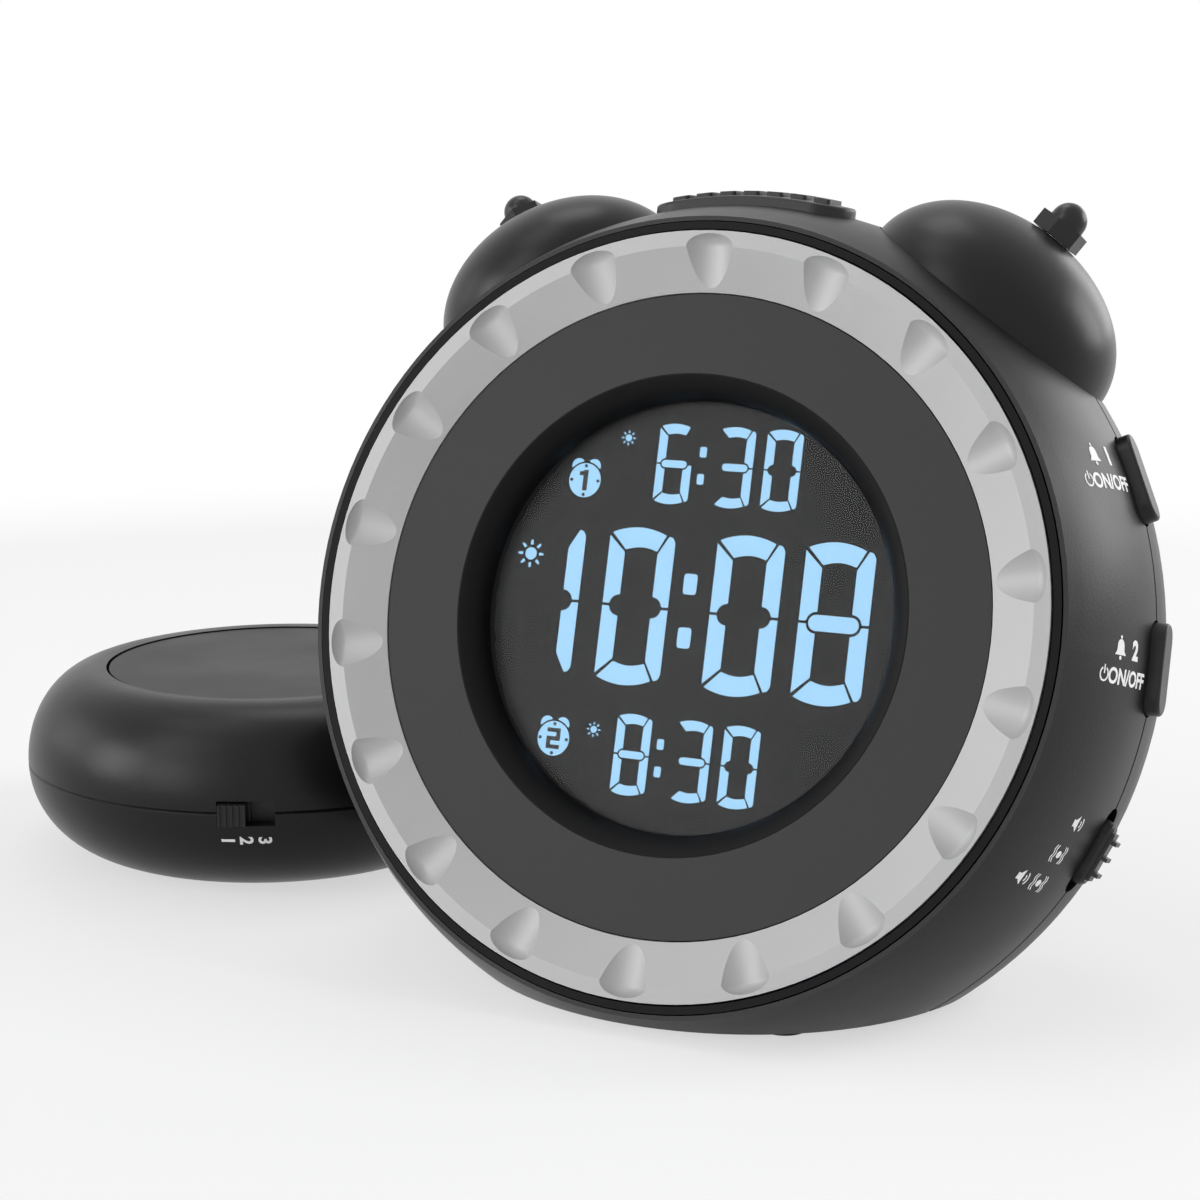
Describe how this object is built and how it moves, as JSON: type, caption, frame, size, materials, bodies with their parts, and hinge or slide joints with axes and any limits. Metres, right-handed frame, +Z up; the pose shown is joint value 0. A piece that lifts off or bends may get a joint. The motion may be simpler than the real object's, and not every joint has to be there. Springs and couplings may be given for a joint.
{
  "type": "bed shaker alarm clock",
  "caption": "Leaning barrel-shaped digital alarm clock with domed bells on top, side alarm controls and a separate round vibrating puck.",
  "frame": {"origin": "on the table, in the middle of the rectangle that holds clock and shaker puck together", "axes": "+X to the right as seen from the front, +Y backwards, +Z up; the clock's face looks towards -Y and leans back"},
  "size_m": [0.209, 0.1089, 0.1174],
  "materials": {
    "black_plastic": "satin moulded",
    "gloss_black": "gloss",
    "grey_ring": "satin",
    "dark_grey": "matt",
    "clear_lens": "clear smoked",
    "lcd_glass": "gloss",
    "acrylic": "clear",
    "white_plastic": "matt",
    "board_green": "solder mask",
    "chip_black": "moulded",
    "bell_black": "satin",
    "steel": "zinc plated",
    "nut_black": "black oxide",
    "rubber_black": "matt",
    "cone_paper": "pressed paper",
    "magnet": "sintered",
    "tin": "tin plated",
    "battery_skin": "printed sleeve",
    "lead": "cast"
  },
  "bodies": {
    "clock": {"front_case": "black_plastic", "rear_cover": "black_plastic", "rubber_feet": "rubber_black", "case_screws": "steel", "bezel_ring": "grey_ring", "face_plate": "dark_grey", "front_panel": "black_plastic", "display_lens": "clear_lens", "lcd_panel": "lcd_glass", "light_guide": "acrylic", "lcd_frame": "white_plastic", "main_board": "board_green", "board_parts": "chip_black", "left_bell": "bell_black", "right_bell": "bell_black", "bell_posts": "steel", "bell_nuts": "nut_black", "snooze_switch": "chip_black", "switch_carrier": "black_plastic", "alarm_switches": "chip_black", "mode_switch_body": "chip_black", "speaker_frame": "tin", "speaker_magnet": "magnet", "speaker_cone": "cone_paper", "rear_board": "board_green", "rear_switches": "chip_black", "power_jack": "gloss_black", "shaker_jack": "gloss_black", "usb_port": "tin", "thumb_pots": "chip_black", "battery_box": "black_plastic", "batteries": "battery_skin", "battery_contacts": "tin"},
    "snooze_bar": {"snooze_button": "black_plastic"},
    "alarm_1": {"alarm_1_button": "black_plastic"},
    "alarm_2": {"alarm_2_button": "black_plastic"},
    "mode_knob": {"mode_switch_knob": "black_plastic"},
    "time_set": {"time_set_button": "black_plastic"},
    "hour_set": {"hour_button": "black_plastic"},
    "minute_set": {"minute_button": "black_plastic"},
    "format_set": {"format_button": "black_plastic"},
    "volume": {"volume_wheel": "black_plastic"},
    "dimmer": {"dimmer_wheel": "black_plastic"},
    "door": {"battery_door": "black_plastic"},
    "shaker": {"shaker_lower_shell": "black_plastic", "shaker_upper_shell": "black_plastic", "shaker_top_disc": "black_plastic", "shaker_screws": "steel", "shaker_motor": "tin", "motor_cradle": "black_plastic", "shaker_switch_body": "chip_black", "shaker_board": "board_green", "cord_inlet": "rubber_black"},
    "shaker_rotor": {"shaker_weight": "lead"},
    "shaker_slider": {"shaker_switch_knob": "black_plastic"}
  },
  "joints": [
    {"name": "snooze_press", "type": "slide", "parent": "clock", "child": "snooze_bar", "axis": [0, -0.2795, -0.9601], "range_m": [0, 0.0013], "stiffness_N_per_m": 900, "springref_m": -0.002},
    {"name": "alarm_1_press", "type": "slide", "parent": "clock", "child": "alarm_1", "axis": [-0.9128, -0.1141, -0.3921], "range_m": [0, 0.0009], "stiffness_N_per_m": 600, "springref_m": -0.002},
    {"name": "alarm_2_press", "type": "slide", "parent": "clock", "child": "alarm_2", "axis": [-1, 0.001, 0.0034], "range_m": [0, 0.0009], "stiffness_N_per_m": 600, "springref_m": -0.002},
    {"name": "mode_slide", "type": "slide", "parent": "clock", "child": "mode_knob", "axis": [-0.4147, -0.2543, -0.8737], "range_m": [-0.0018, 0.0018]},
    {"name": "time_set_press", "type": "slide", "parent": "clock", "child": "time_set", "axis": [0, -0.9601, 0.2795], "range_m": [0, 0.0008], "stiffness_N_per_m": 500, "springref_m": -0.002},
    {"name": "hour_press", "type": "slide", "parent": "clock", "child": "hour_set", "axis": [0, -0.9601, 0.2795], "range_m": [0, 0.0008], "stiffness_N_per_m": 500, "springref_m": -0.002},
    {"name": "minute_press", "type": "slide", "parent": "clock", "child": "minute_set", "axis": [0, -0.9601, 0.2795], "range_m": [0, 0.0008], "stiffness_N_per_m": 500, "springref_m": -0.002},
    {"name": "format_press", "type": "slide", "parent": "clock", "child": "format_set", "axis": [0, -0.9601, 0.2795], "range_m": [0, 0.0008], "stiffness_N_per_m": 500, "springref_m": -0.002},
    {"name": "volume_turn", "type": "hinge", "parent": "clock", "child": "volume", "pos_m": [0.0654, 0.01524, 0.05641], "axis": [0, 0.2795, 0.9601], "range_deg": [-135, 135]},
    {"name": "dimmer_turn", "type": "hinge", "parent": "clock", "child": "dimmer", "pos_m": [0.0104, 0.01524, 0.05641], "axis": [0, 0.2795, 0.9601], "range_deg": [-135, 135]},
    {"name": "battery_door_slide", "type": "slide", "parent": "clock", "child": "door", "axis": [0, 1, 0], "range_m": [0, 0.032]},
    {"name": "shaker_lift", "type": "slide", "parent": "clock", "child": "shaker", "axis": [-0.5, 0, 0.866], "range_m": [0, 0.06]},
    {"name": "shaker_spin", "type": "hinge", "parent": "shaker", "child": "shaker_rotor", "pos_m": [-0.0605, 0.0104, 0.0155], "axis": [0.8996, 0.4368, 0], "continuous": true},
    {"name": "shaker_switch_slide", "type": "slide", "parent": "shaker", "child": "shaker_slider", "axis": [0.8996, 0.4368, 0], "range_m": [0, 0.0044]}
  ]
}
